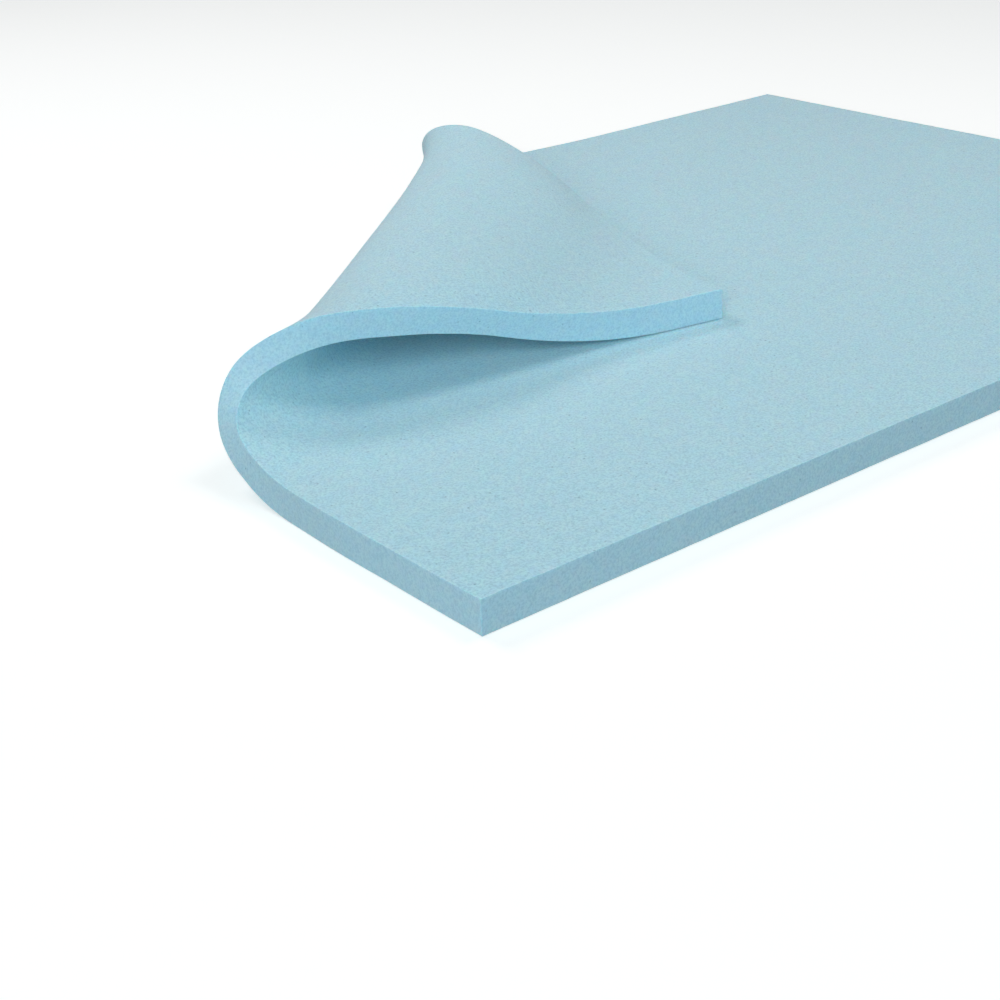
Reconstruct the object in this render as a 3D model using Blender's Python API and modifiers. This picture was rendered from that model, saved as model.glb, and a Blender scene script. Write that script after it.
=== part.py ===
# Foam mattress topper: one slab cut from a sheet of blue open-cell foam, lying flat, with its
# far left corner lifted and folded over onto the top along a slanting line.
#
# X runs along the long sides, Y along the short ones, Z up. The origin is on the underside,
# in the middle of the slab's cut outline. The near corner is the one at -X, -Y.
#
# The middle layer of the slab is a flat outline. It is laid out by two distances from the
# near corner: "along" the fold line, and "across" it, towards the corner that is folded.

import math

import bmesh
import bpy
import numpy as np

# The slab as it was cut, in metres
LENGTH = 1.905
WIDTH = 1.372
THICKNESS = 0.044

# The fold
FOLD_ANGLE = math.radians(39.7)  # from the long side to the fold line
LIFT_LINE = 0.284                # across, where the slab starts to leave the surface
LAYER_GAP = 0.002                # between the folded tip and the slab that it rests on

# The bend, arc by arc from the lift line to the tip of the corner. The turns add up to a half
# turn, so the tip lies flat again. Steps are the facets that the arc is made of.
#     name             length  turn  steps
BEND_ARCS = (
    ("lifting off",    0.100,   34,  5),
    ("turning over",   0.100,  115,  9),
    ("crest",          0.100,   37,  5),
    ("easing down",    0.180,   17,  4),
    ("settling",       0.230,  -23,  5),
    ("lying flat",     0.160,    0,  2),
)
ARC_BLEND = 0.016                # half the length over which one arc turns into the next

# How far the bend stands off a straight fold line at sections along it. It is drawn in most
# at the waist.
#     along   stand_off
SECTIONS = (
    (0.350,  -0.045),
    (0.600,  -0.050),
    (0.900,  -0.044),
    (1.200,  -0.034),
    (1.450,  -0.017),
    (1.600,  -0.009),
)

# The two cut edges that bend flare out from it like cuffs. A flare dies away over its reach,
# measured on the flat slab from that side.
SHORT_SIDE_FLARE = 0.036
SHORT_SIDE_REACH = 0.150
LONG_SIDE_FLARE = 0.031
LONG_SIDE_REACH = 0.140

DRAWN_FROM = -0.120              # past the lift line, the foam starts to give way here
FULL_FROM = 0.080                # and stands off by the whole amount from here
FULL_TO = 0.360                  # to here
NONE_FROM = 0.770                # and not at all from here on

# The foam is squeezed thinner where it bends hardest
SQUEEZE = 0.20                   # share of the thickness that is lost in the middle of the bend
SQUEEZE_AT = 0.178               # the middle of the bend, past the lift line
SQUEEZE_REACH = 0.195            # and how far to either side of it the foam is thinner

COLUMNS = 28                     # facets along the fold line
EVENNESS = 0.5                   # 1 for even facets along it, less for narrow ones at its ends
APPROACH_STEPS = 3               # facets before the lift line
WALK_STEPS = 400                 # small steps that add up to the bend's outline
BLEND_SAMPLES = 9                # slopes averaged where one arc turns into the next
MERGE_DISTANCE = 0.0001
SHARP_FROM = math.radians(40.0)  # edges that turn by more than this are shaded sharp

FOAM_BLUE = (0.36, 0.63, 0.72, 1.0)
FOAM_ROUGHNESS = 0.95

FOLD_COS = math.cos(FOLD_ANGLE)
FOLD_SIN = math.sin(FOLD_ANGLE)
TIP_ACROSS = WIDTH * FOLD_COS    # across, at the corner that is folded
BEND_LENGTH = TIP_ACROSS - LIFT_LINE


def clear_scene():
    for thing in list(bpy.data.objects):
        bpy.data.objects.remove(thing, do_unlink=True)


def ease(share):
    share = min(max(share, 0.0), 1.0)
    return share * share * (3.0 - 2.0 * share)


def read_smoothly(rows, at):
    # A smooth curve through a table's rows, level before its first row
    places = np.array([row[0] for row in rows])
    values = np.array([row[1] for row in rows])
    slopes = np.gradient(values, places)
    slopes[0] = 0.0
    at = min(max(at, places[0]), places[-1])
    row = min(int(np.searchsorted(places, at, side="right")) - 1, len(rows) - 2)
    span = places[row + 1] - places[row]
    share = (at - places[row]) / span
    blend = ease(share)
    leaving = slopes[row] * span * share * (1.0 - share) ** 2
    arriving = slopes[row + 1] * span * share ** 2 * (1.0 - share)
    return values[row] + (values[row + 1] - values[row]) * blend + leaving - arriving


def turned_by(distance):
    # The slope reached at a distance past the lift line, with the arcs blended into each other
    ends = np.cumsum([0.0] + [length for _, length, _, _ in BEND_ARCS])
    turns = np.radians(np.cumsum([0.0] + [turn for _, _, turn, _ in BEND_ARCS]))
    spread = np.linspace(-ARC_BLEND, ARC_BLEND, BLEND_SAMPLES)
    return float(np.mean(np.interp(distance + spread, ends, turns)))


def walk_bend():
    # The bend's outline seen along the fold line: distance walked, how far out, how high up.
    # Its heights are trimmed a little so that the tip ends up just clear of the slab.
    walked = np.linspace(0.0, BEND_LENGTH, WALK_STEPS + 1)
    step = walked[1]
    slopes = np.array([turned_by(distance) for distance in walked[:-1] + step / 2])
    out = np.concatenate([[0.0], np.cumsum(np.cos(slopes) * step)])
    up = np.concatenate([[0.0], np.cumsum(np.sin(slopes) * step)])
    return walked, out, up * (THICKNESS + LAYER_GAP) / up[-1]


def on_slab(along, across):
    # From distances along and across the fold line to X and Y from the near corner
    return along * FOLD_COS - across * FOLD_SIN, along * FOLD_SIN + across * FOLD_COS


def stand_off(along, across):
    # How far the bend stands off a straight fold line here, with the flares of its two ends
    x, y = on_slab(along, across)
    short_side = max(0.0, 1.0 - x / SHORT_SIDE_REACH) ** 2
    long_side = max(0.0, 1.0 - (WIDTH - y) / LONG_SIDE_REACH) ** 2
    flares = SHORT_SIDE_FLARE * short_side + LONG_SIDE_FLARE * long_side
    return read_smoothly(SECTIONS, along) + flares


def folded(along, across, bend):
    # Where a point of the flat middle layer lies once the corner is folded over
    walked, out, up = bend
    past_lift = across - LIFT_LINE
    reach = past_lift
    height = THICKNESS / 2
    if past_lift > 0.0:
        reach = float(np.interp(past_lift, walked, out))
        height += float(np.interp(past_lift, walked, up))
    growing = ease((past_lift - DRAWN_FROM) / (FULL_FROM - DRAWN_FROM))
    fading = 1.0 - ease((past_lift - FULL_TO) / (NONE_FROM - FULL_TO))
    reach += stand_off(along, across) * growing * fading
    x, y = on_slab(along, LIFT_LINE + reach)
    return x, y, height


def rows_across():
    # Distances across at which the patch that is folded is divided
    rows = [LIFT_LINE + DRAWN_FROM * (1.0 - step / APPROACH_STEPS) for step in range(APPROACH_STEPS)]
    start = LIFT_LINE
    for _, length, _, steps in BEND_ARCS:
        length = min(length, TIP_ACROSS - start)
        rows += [start + length * step / steps for step in range(steps)]
        start += length
    return rows + [TIP_ACROSS]


def ends_along(across):
    # Where a line parallel to the fold meets the short side and the far long side
    on_short_side = across * FOLD_SIN / FOLD_COS
    on_long_side = (WIDTH - across * FOLD_COS) / FOLD_SIN
    return on_short_side, on_long_side


def share_along(column):
    # How far along a row a column stands, from 0 to 1, with narrow columns near both ends
    even = column / COLUMNS
    return EVENNESS * even + (1.0 - EVENNESS) * ease(even)


def fold_patch(bm, bend):
    # The three-cornered patch that is folded: a grid laid into its place on the flat slab, and
    # folded with it. Returns the vertices of its edge towards the flat part, and how far past
    # the lift line each vertex is.
    rows = rows_across()
    last_row = len(rows) - 1
    grid = bmesh.ops.create_grid(bm, x_segments=COLUMNS, y_segments=last_row, size=0.5)
    seam = []
    past_lift = {}
    for vertex in grid["verts"]:
        column = round((vertex.co.x + 0.5) * COLUMNS)
        across = rows[round((vertex.co.y + 0.5) * last_row)]
        first, last = ends_along(across)
        along = first + (last - first) * share_along(column)
        vertex.co = folded(along, across, bend)
        past_lift[vertex] = across - LIFT_LINE
        if across == rows[0]:
            seam.append((column, vertex))
    seam.sort(key=lambda pair: pair[0])
    return [vertex for _, vertex in seam], past_lift


def squeezed(past_lift):
    # 1 in the middle of the bend, and 0 beyond the reach of the squeeze
    from_middle = (past_lift - SQUEEZE_AT) / SQUEEZE_REACH
    return max(0.0, 1.0 - from_middle ** 2) ** 2


def middle_layer():
    # The slab's middle layer, with the weights that keep its full thickness
    bm = bmesh.new()
    weights = bm.verts.layers.deform.verify()  # a layer that is added later would lose past_lift
    seam, past_lift = fold_patch(bm, walk_bend())
    corners = [(0.0, 0.0), (LENGTH, 0.0), (LENGTH, WIDTH)]
    flat_corners = [bm.verts.new((x, y, THICKNESS / 2)) for x, y in corners]
    bm.faces.new(flat_corners + seam[::-1])
    for vertex in bm.verts:
        vertex[weights][0] = 1.0 - squeezed(past_lift.get(vertex, DRAWN_FROM))
    bmesh.ops.remove_doubles(bm, verts=bm.verts, dist=MERGE_DISTANCE)  # the last row is all tip
    mesh = bpy.data.meshes.new("foam_slab")
    bm.to_mesh(mesh)
    bm.free()
    return mesh


def foam_material():
    material = bpy.data.materials.new("blue_foam")
    material.use_nodes = True
    shader = material.node_tree.nodes["Principled BSDF"]
    shader.inputs["Base Color"].default_value = FOAM_BLUE
    shader.inputs["Roughness"].default_value = FOAM_ROUGHNESS
    shader.inputs["Metallic"].default_value = 0.0
    return material


def foam_slab(collection):
    mesh = middle_layer()
    mesh.materials.append(foam_material())
    slab = bpy.data.objects.new("foam_slab", mesh)
    slab.location = (-LENGTH / 2, -WIDTH / 2, 0.0)
    slab.vertex_groups.new(name="full_thickness")
    collection.objects.link(slab)

    shell = slab.modifiers.new("foam thickness", "SOLIDIFY")
    shell.thickness = THICKNESS
    shell.offset = 0.0
    shell.vertex_group = "full_thickness"
    shell.thickness_vertex_group = 1.0 - SQUEEZE
    mesh.shade_smooth()
    mesh.set_sharp_from_angle(angle=SHARP_FROM)
    return slab


def build():
    clear_scene()
    collection = bpy.data.collections.new("mattress_topper")
    bpy.context.scene.collection.children.link(collection)
    foam_slab(collection)


build()
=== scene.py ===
# Blue foam mattress topper with its far left corner folded over, ready to render.
# Everything is in metres; a length given in millimetres says so in its name.

import math

import bmesh
import bpy
import numpy as np
from mathutils import Matrix, Vector, noise


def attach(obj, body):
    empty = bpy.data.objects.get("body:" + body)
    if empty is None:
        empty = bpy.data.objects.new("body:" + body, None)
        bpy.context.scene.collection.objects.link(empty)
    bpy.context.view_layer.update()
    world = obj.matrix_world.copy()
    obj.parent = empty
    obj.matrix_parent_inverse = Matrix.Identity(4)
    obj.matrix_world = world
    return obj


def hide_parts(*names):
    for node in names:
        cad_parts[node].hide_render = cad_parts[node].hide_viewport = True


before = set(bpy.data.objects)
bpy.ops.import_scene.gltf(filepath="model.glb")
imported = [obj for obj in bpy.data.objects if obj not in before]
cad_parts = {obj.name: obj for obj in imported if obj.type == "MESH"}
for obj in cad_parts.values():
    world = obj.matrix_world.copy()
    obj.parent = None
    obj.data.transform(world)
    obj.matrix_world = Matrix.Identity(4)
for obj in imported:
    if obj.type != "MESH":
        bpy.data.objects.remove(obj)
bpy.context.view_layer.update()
print("frame loaded")


def hexToLinear(code, alpha=1.0):
    # An sRGB hex colour as the linear values that shaders take
    channels = [int(code[at:at + 2], 16) / 255 for at in (1, 3, 5)]
    linear = [c / 12.92 if c < 0.04045 else ((c + 0.055) / 1.055) ** 2.4 for c in channels]
    return (*linear, alpha)


def addNode(tree, kind, settings=None, links=None):
    # One node: settings go to its properties or its input sockets, links to its inputs
    node = tree.nodes.new(kind)
    for name, value in (settings or {}).items():
        if hasattr(node, name):
            setattr(node, name, value)
        else:
            node.inputs[name].default_value = value
    for name, source in (links or {}).items():
        tree.links.new(source, node.inputs[name])
    return node


def perMetre(millimetres):
    # The scale of a texture whose features are that far apart
    return 1000.0 / millimetres


slab = {
    "length": 1.905,
    "width": 1.372,
    "thickness": 0.044,
    "gridMm": 8.6,            # mesh spacing over the faces
    "edgeRadiusMm": 0.3,      # the cut edges are crisp
    "halfWayRound": 0.586,    # mesh row half-way from the corner to the flat, in radii
    "edgeRow": 2.4,           # first mesh row past the rounded edge, in radii
    "outerTurn": 0.4,         # how much of that round goes with the faces, in radii
    "sideRows": 6,            # mesh rows up the cut sides, between the rounded edges
}

fold = {
    "angle": math.radians(39.7),   # from the long side to the fold line
    "liftLine": 0.284,             # across, where the slab leaves the surface
    "layerGap": 0.002,             # between the folded tip and the slab under it
    # the bend, arc by arc from the lift line to the tip: length, turn in degrees
    "arcs": (
        (0.100, 34),
        (0.100, 115),
        (0.100, 37),
        (0.180, 17),
        (0.230, -23),
        (0.160, 0),
    ),
    "arcBlend": 0.016,             # half the length over which one arc turns into the next
    "walkSteps": 400,              # small steps that add up to the bend's outline
    "blendSamples": 9,             # slopes averaged where one arc turns into the next
    # how far the bend stands off a straight fold line: along it, stand-off
    "sections": (
        (0.350, -0.045),
        (0.600, -0.050),
        (0.900, -0.044),
        (1.200, -0.034),
        (1.450, -0.017),
        (1.600, -0.009),
    ),
    # the two cut edges flare out from the bend like cuffs: flare, reach on the flat slab
    "shortSideFlare": (0.036, 0.150),
    "longSideFlare": (0.031, 0.140),
    # from and to, past the lift line
    "standOffGrows": (-0.120, 0.080),
    "standOffFades": (0.360, 0.770),
    "tipSinksOver": (0.480, 0.710),
    "tipSinks": 0.0009,            # how much of the gap the tip's own weight takes up
    "squeeze": 0.20,               # share of the thickness lost in the middle of the bend
    "squeezeAt": 0.178,            # the middle of the bend, past the lift line
    "squeezeReach": 0.195,
}


def ease(share):
    share = np.clip(share, 0.0, 1.0)
    return share * share * (3.0 - 2.0 * share)


def readSmoothly(rows, at):
    # A smooth curve through a table's rows, level before its first row
    places, values = np.array(rows, float).T
    slopes = np.gradient(values, places)
    slopes[0] = 0.0
    at = np.clip(at, places[0], places[-1])
    row = np.clip(np.searchsorted(places, at, side="right") - 1, 0, len(places) - 2)
    span = places[row + 1] - places[row]
    share = (at - places[row]) / span
    straight = values[row] + (values[row + 1] - values[row]) * ease(share)
    return (straight + slopes[row] * span * share * (1 - share) ** 2
            - slopes[row + 1] * span * share ** 2 * (1 - share))


def walkBend():
    # The bend's outline seen along the fold line: distance walked, how far out, how high up
    lengths, turns = np.array(fold["arcs"], float).T
    ends = np.concatenate([[0.0], np.cumsum(lengths)])
    slopes = np.radians(np.concatenate([[0.0], np.cumsum(turns)]))
    reach = slab["width"] * math.cos(fold["angle"]) - fold["liftLine"]
    walked = np.linspace(0.0, reach, fold["walkSteps"] + 1)
    step = walked[1]
    spread = np.linspace(-fold["arcBlend"], fold["arcBlend"], fold["blendSamples"])
    middles = walked[:-1] + step / 2
    turned = np.mean([np.interp(middles + shift, ends, slopes) for shift in spread], axis=0)
    out = np.concatenate([[0.0], np.cumsum(np.cos(turned) * step)])
    up = np.concatenate([[0.0], np.cumsum(np.sin(turned) * step)])
    return walked, out, up * (slab["thickness"] + fold["layerGap"]) / up[-1]


bend = walkBend()
foldCosine = math.cos(fold["angle"])
foldSine = math.sin(fold["angle"])


def onSlab(along, across):
    # From distances along and across the fold line to X and Y from the near corner
    return along * foldCosine - across * foldSine, along * foldSine + across * foldCosine


def standOff(along, across):
    # How far the bend stands off a straight fold line, with the flares of its two ends
    x, y = onSlab(along, across)
    amount = readSmoothly(fold["sections"], along)
    for fromSide, name in ((x, "shortSideFlare"), (slab["width"] - y, "longSideFlare")):
        flare, reach = fold[name]
        amount = amount + flare * np.clip(1.0 - fromSide / reach, 0.0, None) ** 2
    return amount


def middleLayer(along, across):
    # Where the slab's middle layer lies once its corner is folded over
    walked, out, up = bend
    pastLift = across - fold["liftLine"]
    reach = np.where(pastLift > 0.0, np.interp(pastLift, walked, out), pastLift)
    sinkFrom, sinkTo = fold["tipSinksOver"]
    sunk = fold["tipSinks"] * ease((pastLift - sinkFrom) / (sinkTo - sinkFrom))
    height = slab["thickness"] / 2 + np.interp(pastLift, walked, up) - sunk
    growFrom, growTo = fold["standOffGrows"]
    fadeFrom, fadeTo = fold["standOffFades"]
    growing = ease((pastLift - growFrom) / (growTo - growFrom))
    fading = 1.0 - ease((pastLift - fadeFrom) / (fadeTo - fadeFrom))
    reach = reach + standOff(along, across) * growing * fading
    x, y = onSlab(along, fold["liftLine"] + reach)
    return np.stack([x, y, height], axis=1)


def foldOver(points):
    # Carries points of the flat slab to their place in the folded one
    along = points[:, 0] * foldCosine + points[:, 1] * foldSine
    across = points[:, 1] * foldCosine - points[:, 0] * foldSine
    nudge = 0.0005    # to either side, to find the layer's slope
    towardsAlong = middleLayer(along + nudge, across) - middleLayer(along - nudge, across)
    towardsAcross = middleLayer(along, across + nudge) - middleLayer(along, across - nudge)
    normals = np.cross(towardsAlong, towardsAcross)
    normals /= np.linalg.norm(normals, axis=1, keepdims=True)
    fromMiddle = (across - fold["liftLine"] - fold["squeezeAt"]) / fold["squeezeReach"]
    kept = 1.0 - fold["squeeze"] * np.clip(1.0 - fromMiddle ** 2, 0.0, None) ** 2
    offset = (points[:, 2] - slab["thickness"] / 2) * kept
    return middleLayer(along, across) + normals * offset[:, None]


def divisions(size, spacing, radius):
    # Mesh lines across one side of the slab, closer together at its rounded edges
    edge = [0.0, slab["halfWayRound"] * radius, radius, slab["edgeRow"] * radius]
    inner = np.linspace(edge[-1], size - edge[-1], max(2, round(size / spacing)))
    return np.concatenate([edge[:-1], inner, size - np.array(edge[:-1][::-1])])


def flatSlab():
    # The slab before it is folded: a unit box of quads, whose points then go to the mesh lines
    radius = slab["edgeRadiusMm"] / 1000
    xs = divisions(slab["length"], slab["gridMm"] / 1000, radius)
    ys = divisions(slab["width"], slab["gridMm"] / 1000, radius)
    zs = divisions(slab["thickness"], slab["thickness"] / slab["sideRows"], radius)
    bm = bmesh.new()
    bmesh.ops.create_grid(bm, x_segments=len(xs) - 1, y_segments=len(ys) - 1, size=0.5)
    raised = bmesh.ops.extrude_face_region(bm, geom=bm.faces[:])["geom"]
    lifted = {v for v in raised if isinstance(v, bmesh.types.BMVert)}
    for vertex in lifted:
        vertex.co.z = 1.0
    upright = [e for e in bm.edges if (e.verts[0] in lifted) != (e.verts[1] in lifted)]
    bmesh.ops.subdivide_edges(bm, edges=upright, cuts=len(zs) - 2)
    bmesh.ops.recalc_face_normals(bm, faces=bm.faces)
    mesh = bpy.data.meshes.new("foamSlab")
    bm.to_mesh(mesh)
    bm.free()
    points = readPoints(mesh)
    for axis, lines, shift in ((0, xs, 0.5), (1, ys, 0.5), (2, zs, 0.0)):
        steps = len(lines) - 1
        points[:, axis] = np.array(lines)[np.rint((points[:, axis] + shift) * steps).astype(int)]
    return mesh, points


def readPoints(mesh):
    points = np.zeros(len(mesh.vertices) * 3, np.float32)
    mesh.vertices.foreach_get("co", points)
    return points.reshape(-1, 3).astype(float)


def writePoints(mesh, points):
    mesh.vertices.foreach_set("co", points.astype(np.float32).ravel())
    mesh.update()


def roundEdges(points):
    # Every edge and corner of the box becomes a small round
    radius = slab["edgeRadiusMm"] / 1000
    size = np.array([slab["length"], slab["width"], slab["thickness"]])
    core = np.clip(points, radius, size - radius)
    away = points - core
    far = np.linalg.norm(away, axis=1, keepdims=True)
    noneAway = 1e-9    # points on the core stay where they are
    return core + radius * away / np.maximum(far, noneAway)


wear = {
    "faceWaveMm": 0.45,       # slow swells that the slicing knife leaves in the top
    "faceWaveLength": 0.21,
    "sideWaveMm": 0.8,        # the saw wanders in and out along the sides
    "sideWaveLength": 0.16,
    "sideBiasMm": 0.32,       # and cuts in by this much on average
    "sideReach": 0.02,        # its wandering dies away over this much of the faces
    "sideRippleMm": 0.35,     # its teeth leave finer waves in them
    "sideRippleLength": 0.028,
    "faceSeed": 3.1,          # where in the noise each pattern is read
    "waveSeed": 7.7,
    "rippleSeed": 12.3,
}


def unevenness(point, length, seed):
    # Smooth noise from -1 to 1 with swells of the given length
    readFrom = Vector((seed, seed * 2, seed * 3))
    return noise.noise(Vector((point[0], point[1], point[2])) / length + readFrom)


def weatherSlab(points):
    # Small departures from a perfect box, all on the flat slab; the underside stays flat
    length, width, thickness = slab["length"], slab["width"], slab["thickness"]
    moved = points.copy()
    for index, point in enumerate(points):
        high = point[2] / thickness
        swell = unevenness((point[0], point[1], 0.0), wear["faceWaveLength"], wear["faceSeed"])
        moved[index, 2] += swell * wear["faceWaveMm"] / 1000 * high
        for axis, size in ((0, length), (1, width)):
            fromSide = min(point[axis], size - point[axis])
            hold = max(0.0, 1.0 - fromSide / wear["sideReach"])
            if hold > 0.0:
                wander = unevenness(point, wear["sideWaveLength"], wear["waveSeed"] + axis)
                ripple = unevenness(point, wear["sideRippleLength"], wear["rippleSeed"] + axis)
                outward = wander * wear["sideWaveMm"] + ripple * wear["sideRippleMm"]
                inward = (wear["sideBiasMm"] - outward) * hold / 1000
                moved[index, axis] += inward if point[axis] < size / 2 else -inward
    return moved


def sidesOf(mesh, points):
    # 1 for each face on a cut side, 0 on the top and underside with the outer turn of their edges
    heights = np.array([points[list(polygon.vertices), 2].mean() for polygon in mesh.polygons])
    outerTurn = slab["outerTurn"] * slab["edgeRadiusMm"] / 1000
    onSide = (heights > outerTurn) & (heights < slab["thickness"] - outerTurn)
    return onSide.astype(np.int32)


def foamPiece():
    mesh, points = flatSlab()
    sides = sidesOf(mesh, points)
    points = foldOver(weatherSlab(roundEdges(points)))
    writePoints(mesh, points - np.array([slab["length"] / 2, slab["width"] / 2, 0.0]))
    # the cut sides take the second material, a copy of the foam with painted shade
    mesh.polygons.foreach_set("material_index", sides)
    mesh.shade_smooth()
    piece = bpy.data.objects.new("foamTopper", mesh)
    bpy.context.scene.collection.objects.link(piece)
    return piece


faceLook = {
    "paleColour": "#c7eff7",      # the gel is mixed in unevenly: paler and greener here,
    "blueColour": "#c2ecf8",      # bluer there
    "cellShadeColour": "#9dcedd",      # painted shade down in the open cells
    "poreShadeColour": "#6399ad",      # and painted shade down in a burst one
    "roughness": 0.92,
    "mottleMm": 13.0,
    "cellMm": 3.2,                # real cells are 0.5 to 1 mm; drawn coarser so that they show
    "cellHeightMm": 0.4,
    "poreMm": 11.0,               # from one burst cell to the next
    "poreSize": 0.20,             # the widest ones, as a share of that
}
shadedSideLook = {
    "paleColour": "#c2e4ed",      # painted shade makes the sides a shade duller and bluer than the top; the saw leaves smaller pores
    "blueColour": "#bee1ee",
    "cellShadeColour": "#a0cbdb",
    "poreShadeColour": "#6394a9",
    "roughness": 0.95,
    "mottleMm": 11.0,
    "cellMm": 3.2,
    "cellHeightMm": 0.4,
    "poreMm": 16.0,
    "poreSize": 0.13,
}
foam = {
    "mottleDetail": 1.0,
    "mottleFrom": 0.38,           # the noise where the one colour starts to give way
    "mottleTo": 0.62,             # and where it is all the other
    "cellDetail": 3.0,            # cells of some sizes, the small ones nearly as deep
    "cellRoughness": 0.75,
    "cellShallow": 0.57,          # the noise where a cell starts
    "cellDeep": 0.36,             # and where it is deepest
    "cellShadeShare": 0.75,            # how much of the painted cell shade shows there
    "poreShadeShare": 0.8,             # and of the painted pore shade in a burst cell
    "bumpStrength": 0.6,
    "ior": 1.45,
    "specular": 0.18,             # below the usual 0.5, since open cells trap most of the glint
    "sheen": 0.08,                # the faint bloom of the torn cell walls
    "sheenRoughness": 0.6,
    "lightReach": 0.004,          # how far blue light goes into the foam
    "lightReachByColour": (0.25, 0.8, 1.0),    # red and green as shares of that
}
# the sockets of a Mix node that mixes colours
mixFactor, mixFirst, mixSecond, mixResult = 0, 6, 7, 2


def openCellFoam(name, look):
    # Slow-recovery polyurethane foam, open celled. Light goes a little way into it, so it looks
    # soft and dead matt, with a faint mottle; a grain of cells and small burst ones, darkened
    # with painted shade.
    material = bpy.data.materials.new(name)
    material.use_nodes = True
    tree = material.node_tree
    tree.nodes.clear()
    place = addNode(tree, "ShaderNodeTexCoord").outputs["Object"]
    mottle = addNode(tree, "ShaderNodeTexNoise",
                     {"Scale": perMetre(look["mottleMm"]), "Detail": foam["mottleDetail"]},
                     {"Vector": place})
    mixed = addNode(tree, "ShaderNodeValToRGB", {}, {"Fac": mottle.outputs["Fac"]})
    mixed.color_ramp.elements[0].position = foam["mottleFrom"]
    mixed.color_ramp.elements[0].color = hexToLinear(look["blueColour"])
    mixed.color_ramp.elements[1].position = foam["mottleTo"]
    mixed.color_ramp.elements[1].color = hexToLinear(look["paleColour"])

    cells = addNode(tree, "ShaderNodeTexNoise",
                    {"Scale": perMetre(look["cellMm"]), "Detail": foam["cellDetail"],
                     "Roughness": foam["cellRoughness"]},
                    {"Vector": place})
    # the open cells get painted shade: the colour darkens where the cell noise runs low, where
    # the bump sinks
    cellShadeMask = addNode(tree, "ShaderNodeMapRange",
                     {"From Min": foam["cellShallow"], "From Max": foam["cellDeep"],
                      "To Max": foam["cellShadeShare"]},
                     {"Value": cells.outputs["Fac"]})
    withCellShade = addNode(tree, "ShaderNodeMix", {"data_type": "RGBA"})
    withCellShade.inputs[mixSecond].default_value = hexToLinear(look["cellShadeColour"])
    tree.links.new(cellShadeMask.outputs["Result"], withCellShade.inputs[mixFactor])
    tree.links.new(mixed.outputs["Color"], withCellShade.inputs[mixFirst])

    # Burst cells are of all sizes: each one's reach is its own random share of the widest, and
    # each is filled with painted shade
    pores = addNode(tree, "ShaderNodeTexVoronoi", {"Scale": perMetre(look["poreMm"])},
                    {"Vector": place})
    random = addNode(tree, "ShaderNodeSeparateColor", {}, {"Color": pores.outputs["Color"]})
    reach = addNode(tree, "ShaderNodeMath", {"operation": "MULTIPLY"})
    reach.inputs[1].default_value = look["poreSize"]
    tree.links.new(random.outputs["Red"], reach.inputs[0])
    poreShadeMask = addNode(tree, "ShaderNodeMapRange", {"To Min": foam["poreShadeShare"], "To Max": 0.0},
                     {"Value": pores.outputs["Distance"], "From Max": reach.outputs["Value"]})
    colour = addNode(tree, "ShaderNodeMix", {"data_type": "RGBA"})
    colour.inputs[mixSecond].default_value = hexToLinear(look["poreShadeColour"])
    tree.links.new(poreShadeMask.outputs["Result"], colour.inputs[mixFactor])
    tree.links.new(withCellShade.outputs[mixResult], colour.inputs[mixFirst])

    bump = addNode(tree, "ShaderNodeBump",
                   {"Strength": foam["bumpStrength"], "Distance": look["cellHeightMm"] / 1000},
                   {"Height": cells.outputs["Fac"]})
    skin = addNode(tree, "ShaderNodeBsdfPrincipled",
                   {"Roughness": look["roughness"], "IOR": foam["ior"],
                    "Specular IOR Level": foam["specular"], "Sheen Weight": foam["sheen"],
                    "Sheen Roughness": foam["sheenRoughness"], "Subsurface Weight": 1.0,
                    "Subsurface Radius": foam["lightReachByColour"],
                    "Subsurface Scale": foam["lightReach"]},
                   {"Base Color": colour.outputs[mixResult], "Normal": bump.outputs["Normal"]})
    addNode(tree, "ShaderNodeOutputMaterial", {}, {"Surface": skin.outputs["BSDF"]})
    return material


topper = foamPiece()
topper.data.materials.append(openCellFoam("slicedBlueFoam", faceLook))
# the same foam again, darker and bluer for painted shade on the cut sides
topper.data.materials.append(openCellFoam("sawnShadedBlueFoam", shadedSideLook))
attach(topper, "root")
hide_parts("foam_slab")
print("topper:", len(topper.data.polygons), "faces")


studio = {
    "floorColour": "#dbe0dc",
    "floorRoughness": 0.9,
    "floorSize": 30.0,
    "floorDrop": 0.0004,          # keeps the floor just clear of the underside
    "glowColour": "#fffcfb",      # the floor also glows, so that it looks evenly lit
    "floorGlow": 0.50,
    "skyColour": "#e0f2f9",
    "lightAbove": 0.16,           # the sky's strength over the horizon
    "lightBelow": 0.34,           # and under it
    "horizon": 0.04,              # the two blend over this much to either side
    "lensMm": 63.62,
    "filmMm": 36.0,
    "cameraPlace": (-1.9240, -1.9583, 0.9101),
    "pitch": 0.440224,            # radians, looking down
    "yaw": 0.667544,              # from +Y towards +X
    "roll": -0.043497,
}


def studioFloor():
    # Matt white paint: pale and even, with no reflection of the slab in it
    bm = bmesh.new()
    bmesh.ops.create_grid(bm, x_segments=2, y_segments=2, size=studio["floorSize"] / 2)
    mesh = bpy.data.meshes.new("studioFloor")
    bm.to_mesh(mesh)
    bm.free()
    floor = bpy.data.objects.new("studioFloor", mesh)
    bpy.context.scene.collection.objects.link(floor)
    floor.location.z = -studio["floorDrop"]
    floor.visible_diffuse = False  # it takes shadows, and throws no light back up at the sides
    material = bpy.data.materials.new("paintedFloor")
    material.use_nodes = True
    shader = material.node_tree.nodes["Principled BSDF"]
    shader.inputs["Base Color"].default_value = hexToLinear(studio["floorColour"])
    shader.inputs["Roughness"].default_value = studio["floorRoughness"]
    shader.inputs["Emission Color"].default_value = hexToLinear(studio["glowColour"])
    shader.inputs["Emission Strength"].default_value = studio["floorGlow"]
    mesh.materials.append(material)


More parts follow.
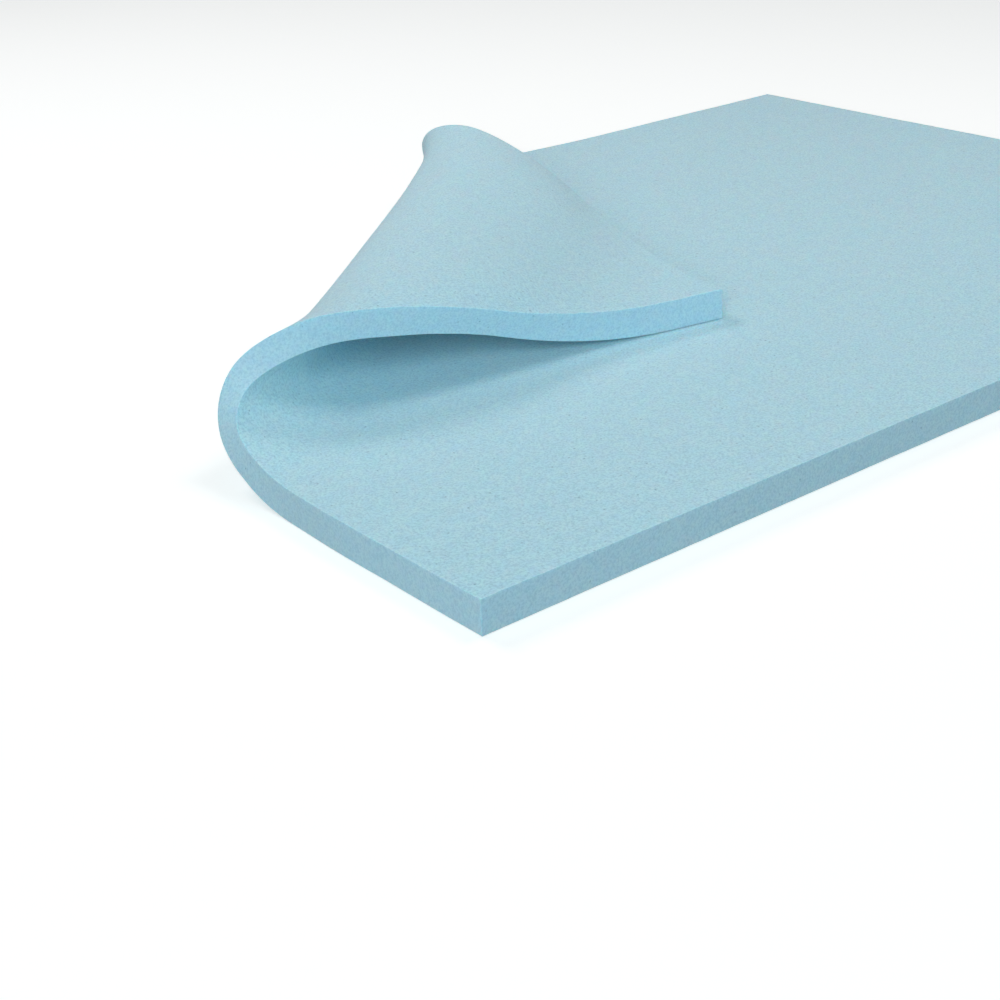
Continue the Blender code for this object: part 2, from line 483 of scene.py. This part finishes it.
def photoCamera():
    data = bpy.data.cameras.new("photoCamera")
    data.lens = studio["lensMm"]
    data.sensor_width = studio["filmMm"]
    camera = bpy.data.objects.new("photoCamera", data)
    bpy.context.scene.collection.objects.link(camera)
    pitch, yaw, roll = studio["pitch"], studio["yaw"], studio["roll"]
    level = math.cos(pitch)
    forward = Vector((math.sin(yaw) * level, math.cos(yaw) * level, -math.sin(pitch)))
    right = Vector((math.cos(yaw), -math.sin(yaw), 0.0))
    up = right.cross(forward)
    across = math.cos(roll) * right + math.sin(roll) * up
    upward = -math.sin(roll) * right + math.cos(roll) * up
    turned = Matrix((across, upward, -forward)).transposed().to_4x4()
    camera.matrix_world = Matrix.Translation(studio["cameraPlace"]) @ turned
    bpy.context.scene.camera = camera


lights = {
    # a soft box high over the slab's right end, whose shadow under the fold has a fairly clear
    # edge, one behind it that shapes the fold, and a big cool one in front for the cut sides
    "overhead": {"place": (1.0, -0.5, 3.6), "size": 1.4, "watts": 33.5, "colour": "#fff6f9"},
    "backLeft": {"place": (-1.0, 2.9, 3.6), "size": 1.6, "watts": 56.0, "colour": "#fff6f9"},
    "frontFill": {"place": (-6.0, -5.5, 3.5), "size": 4.0, "watts": 512.0, "colour": "#e4f1f8"},
}


def studioLights():
    # Square lamps, all aimed at the middle of the slab
    for name, light in lights.items():
        data = bpy.data.lights.new(name, "AREA")
        data.size = light["size"]
        data.energy = light["watts"]
        data.color = hexToLinear(light["colour"])[:3]
        lamp = bpy.data.objects.new(name, data)
        bpy.context.scene.collection.objects.link(lamp)
        lamp.location = light["place"]
        lamp.rotation_euler = (-Vector(light["place"])).to_track_quat("-Z", "Y").to_euler()


def studioWorld():
    # A dim pale sky. The brighter one below the horizon takes the place of the light that the
    # floor would throw back up, and is even all round.
    world = bpy.data.worlds.new("studio")
    bpy.context.scene.world = world
    world.use_nodes = True
    tree = world.node_tree
    tree.nodes.clear()
    direction = addNode(tree, "ShaderNodeTexCoord").outputs["Generated"]
    parts = addNode(tree, "ShaderNodeSeparateXYZ", {}, {"Vector": direction})
    height = addNode(tree, "ShaderNodeMapRange",
                     {"From Min": -studio["horizon"], "From Max": studio["horizon"],
                      "To Min": studio["lightBelow"], "To Max": studio["lightAbove"]},
                     {"Value": parts.outputs["Z"]})
    glow = addNode(tree, "ShaderNodeBackground", {"Color": hexToLinear(studio["skyColour"])},
                   {"Strength": height.outputs["Result"]})
    addNode(tree, "ShaderNodeOutputWorld", {}, {"Surface": glow.outputs["Background"]})


studioFloor()
photoCamera()
studioLights()
studioWorld()
bpy.context.scene.view_settings.view_transform = "Standard"
print("studio ready")
